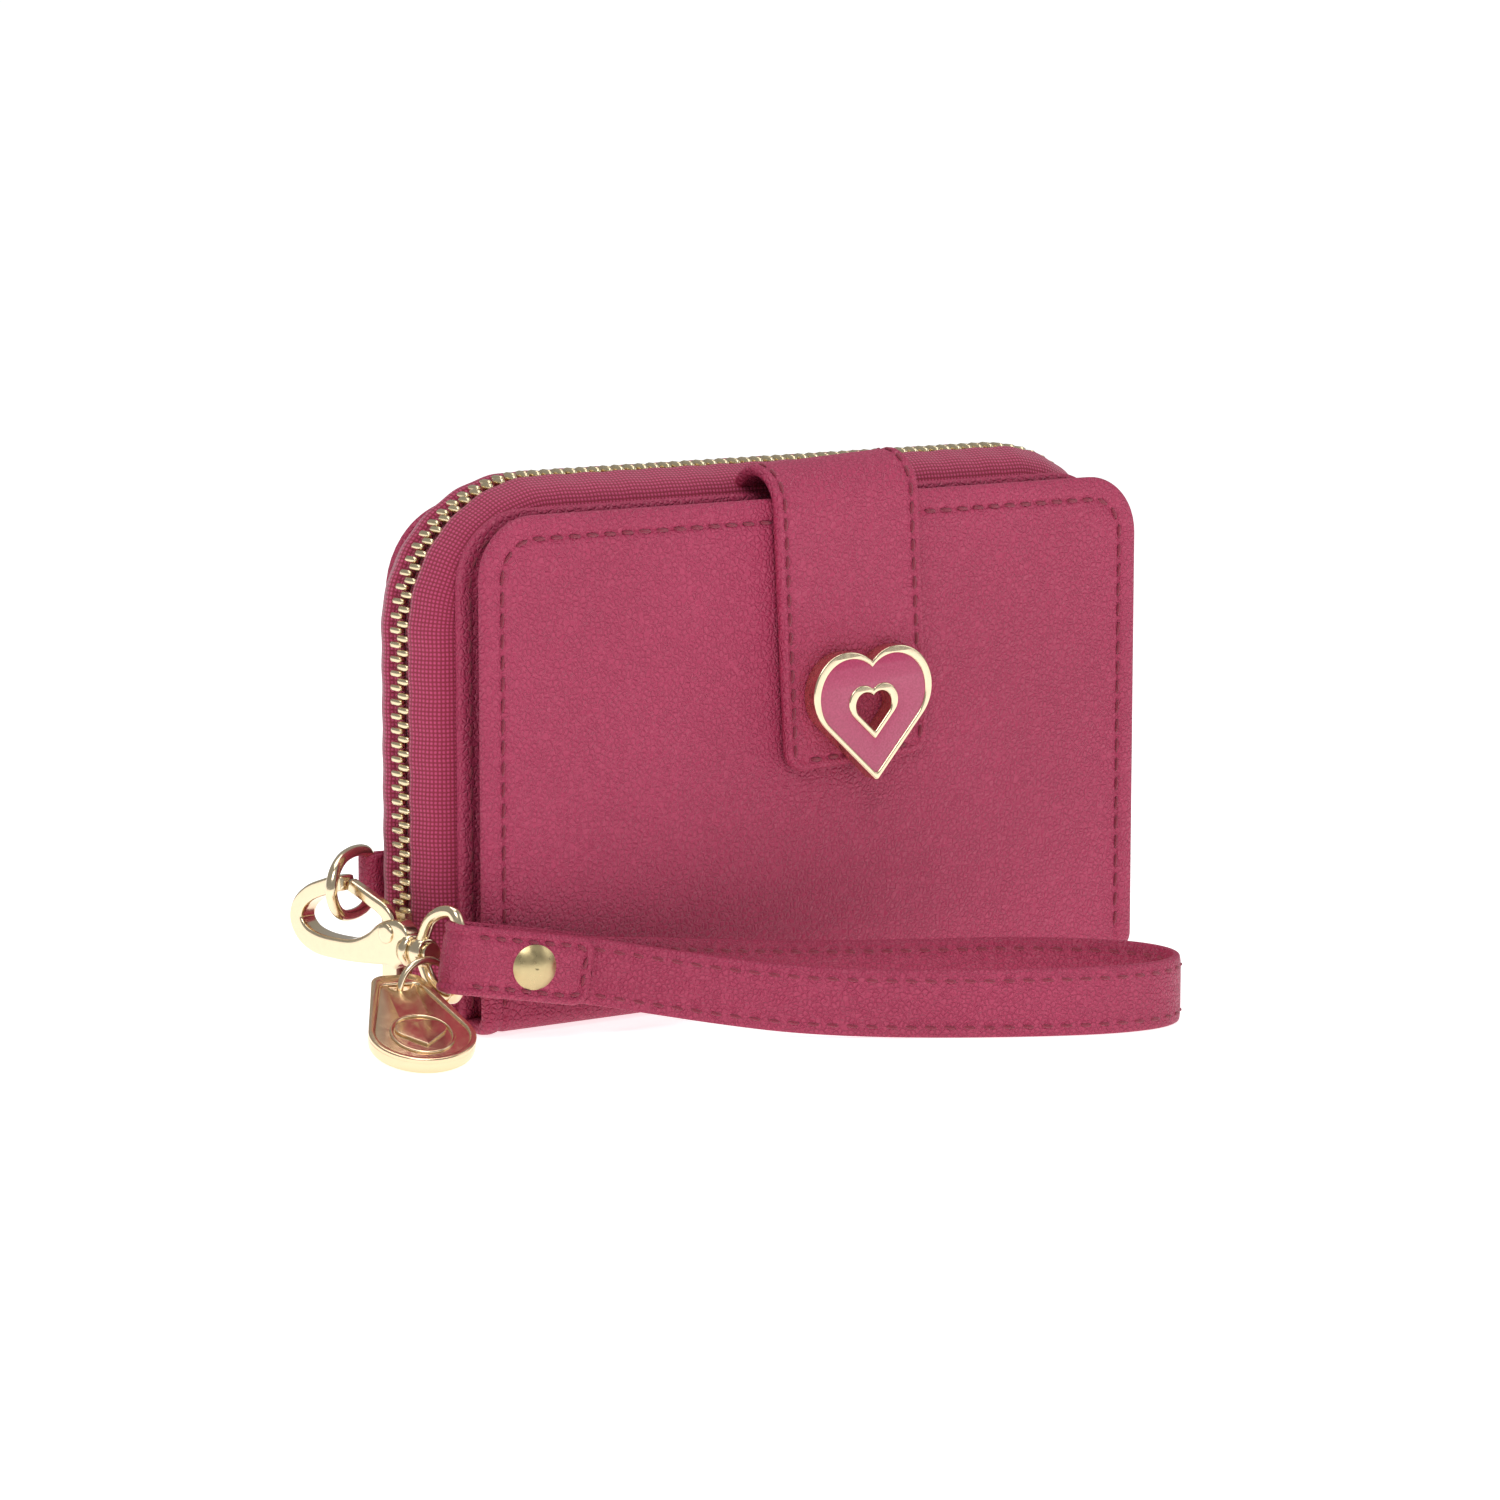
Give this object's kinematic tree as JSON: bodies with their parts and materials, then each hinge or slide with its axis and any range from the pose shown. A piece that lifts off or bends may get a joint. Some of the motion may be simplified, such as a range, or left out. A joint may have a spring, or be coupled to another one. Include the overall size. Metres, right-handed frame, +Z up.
{
  "type": "wristlet wallet",
  "caption": "Zip-round wristlet wallet with a snap-over card cover, heart emblem, swivel clasp, wrist strap and hang charm.",
  "frame": {"origin": "on the plane of the flat base, midway through the depth of the closed wallet and in the middle of its width; the base face's own middle is 1.7 mm behind it", "axes": "+X along the wallet to the right, -Y towards the front cover, +Z up"},
  "size_m": [0.1824, 0.0996, 0.0984],
  "materials": {
    "leather": "satin",
    "lining": "matte",
    "tape": "matte",
    "gold": "polished",
    "steel": "satin",
    "enamel": "gloss"
  },
  "bodies": {
    "case": {"middle_panel": "leather", "middle_lining": "lining", "card_slots": "lining", "coin_pocket": "lining", "coin_zip": "gold", "base_panel": "leather", "base_lining": "lining", "back_panel_lower": "leather", "cover_spine": "leather", "zip_tape_front": "tape", "zip_tape_back_lower": "tape", "zip_teeth_front": "gold", "zip_teeth_back_lower": "gold", "zip_stops": "gold", "d_ring_tab": "leather"},
    "cover": {"front_cover": "leather", "cover_lining": "lining", "cover_card_pockets": "lining", "magnet_socket": "steel"},
    "tab": {"closure_tab": "leather", "magnet_stud": "steel", "emblem_posts": "gold", "emblem_plate": "gold", "emblem_enamel": "enamel"},
    "leaf": {"back_panel_upper": "leather", "back_lining": "lining", "bill_pocket": "lining", "zip_tape_back": "tape", "zip_teeth_back": "gold"},
    "slider": {"zip_slider": "gold"},
    "pull": {"slider_pull": "gold"},
    "d_ring": {"d_ring": "gold"},
    "clasp": {"clasp_hook": "gold", "clasp_pin": "gold", "gate_spring": "steel", "swivel_pin": "gold"},
    "gate": {"clasp_gate": "gold"},
    "swivel": {"swivel_loop": "gold"},
    "charm": {"charm": "gold", "charm_relief": "gold", "jump_ring": "gold"},
    "strap": {"strap_band": "leather", "strap_end_piece": "leather", "strap_rivet_cap": "gold", "strap_rivet_post": "gold", "strap_rivet_back": "gold"}
  },
  "joints": [
    {"name": "tab_hinge", "type": "hinge", "parent": "case", "child": "tab", "pos_m": [0.0038, -0.0058, 0.0941], "axis": [-1, 0, 0], "range_deg": [0, 110], "deforming": ["closure_tab"]},
    {"name": "cover_hinge", "type": "hinge", "parent": "case", "child": "cover", "pos_m": [0, -0.0126, 0.0034], "axis": [1, 0, 0], "range_deg": [0, 6.4], "deforming": ["cover_spine"]},
    {"name": "leaf_hinge", "type": "hinge", "parent": "case", "child": "leaf", "pos_m": [0, 0.016, 0.028], "axis": [-1, 0, 0], "range_deg": [0, 40], "deforming": ["zip_teeth_back"]},
    {"name": "slider_slide", "type": "slide", "parent": "case", "child": "slider", "axis": [0, 0, 1], "range_m": [0, 0.045], "deforming": ["zip_teeth_front", "zip_teeth_back", "zip_teeth_back_lower"]},
    {"name": "pull_hinge", "type": "hinge", "parent": "slider", "child": "pull", "pos_m": [-0.08055, 0.003, 0.0175], "axis": [0, 1, 0], "range_deg": [0, 10]},
    {"name": "d_ring_hinge", "type": "hinge", "parent": "case", "child": "d_ring", "pos_m": [-0.0776, 0.0149, 0.0247], "axis": [0, 0, -1], "range_deg": [0, 30]},
    {"name": "clasp_swing", "type": "hinge", "parent": "d_ring", "child": "clasp", "pos_m": [-0.0866, 0.0089, 0.0192], "axis": [0, 0, -1], "range_deg": [0, 12]},
    {"name": "gate_hinge", "type": "hinge", "parent": "clasp", "child": "gate", "pos_m": [-0.08402, -0.00364, 0.0181], "axis": [-0.9796, -0.2011, 0], "range_deg": [0, 13], "stiffness_Nm_per_rad": 0.0005, "springref_deg": -17.19},
    {"name": "swivel_spin", "type": "hinge", "parent": "clasp", "child": "swivel", "pos_m": [-0.08251, -0.01098, 0.0155], "axis": [0.2011, -0.9796, 0], "range_deg": [0, 60]},
    {"name": "strap_hinge", "type": "hinge", "parent": "swivel", "child": "strap", "pos_m": [-0.0807, -0.0198, 0.016], "axis": [0, 0, -1], "range_deg": [0, 45]},
    {"name": "charm_hinge", "type": "hinge", "parent": "swivel", "child": "charm", "pos_m": [-0.0817, -0.0149, 0.00915], "axis": [-0.9527, 0.304, 0], "range_deg": [0, 6]}
  ],
  "couplings": [
    {"joint": "cover_hinge", "follows": "tab_hinge", "ratio": 0.058}
  ]
}
